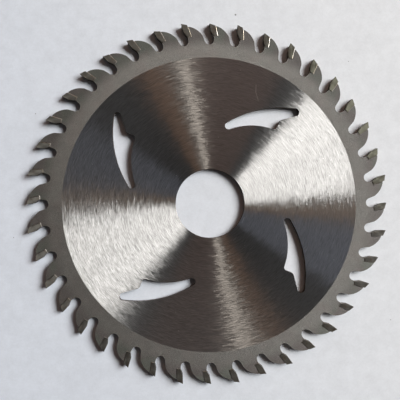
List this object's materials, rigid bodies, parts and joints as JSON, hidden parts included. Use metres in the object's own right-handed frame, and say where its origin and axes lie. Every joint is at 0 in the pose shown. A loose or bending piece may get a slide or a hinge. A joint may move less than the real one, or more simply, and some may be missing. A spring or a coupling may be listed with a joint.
{
  "type": "circular saw blade",
  "caption": "Flat circular saw blade with brazed carbide tips, curved gullets, cooling slots and a plain central bore.",
  "frame": {"origin": "centre of the bore on the plate's mid-plane", "axes": "+Z along the bore axis, towards the side seen in the picture; +X through the cutting corner of tip_01; the tooth faces point anticlockwise seen from +Z"},
  "size_m": [0.105, 0.105, 0.0018],
  "materials": {
    "plate_steel": "ground with fine circular lines inside a matt blasted grey rim",
    "carbide": "dark grey sintered carbide, ground on its faces",
    "silver_braze": "thin bright silver braze"
  },
  "bodies": {
    "root": {"plate": "plate_steel", "braze_joints": "silver_braze", "tip_01": "carbide", "tip_02": "carbide", "tip_03": "carbide", "tip_04": "carbide", "tip_05": "carbide", "tip_06": "carbide", "tip_07": "carbide", "tip_08": "carbide", "tip_09": "carbide", "tip_10": "carbide", "tip_11": "carbide", "tip_12": "carbide", "tip_13": "carbide", "tip_14": "carbide", "tip_15": "carbide", "tip_16": "carbide", "tip_17": "carbide", "tip_18": "carbide", "tip_19": "carbide", "tip_20": "carbide", "tip_21": "carbide", "tip_22": "carbide", "tip_23": "carbide", "tip_24": "carbide", "tip_25": "carbide", "tip_26": "carbide", "tip_27": "carbide", "tip_28": "carbide", "tip_29": "carbide", "tip_30": "carbide", "tip_31": "carbide", "tip_32": "carbide", "tip_33": "carbide", "tip_34": "carbide", "tip_35": "carbide", "tip_36": "carbide", "tip_37": "carbide", "tip_38": "carbide", "tip_39": "carbide", "tip_40": "carbide"}
  },
  "joints": []
}
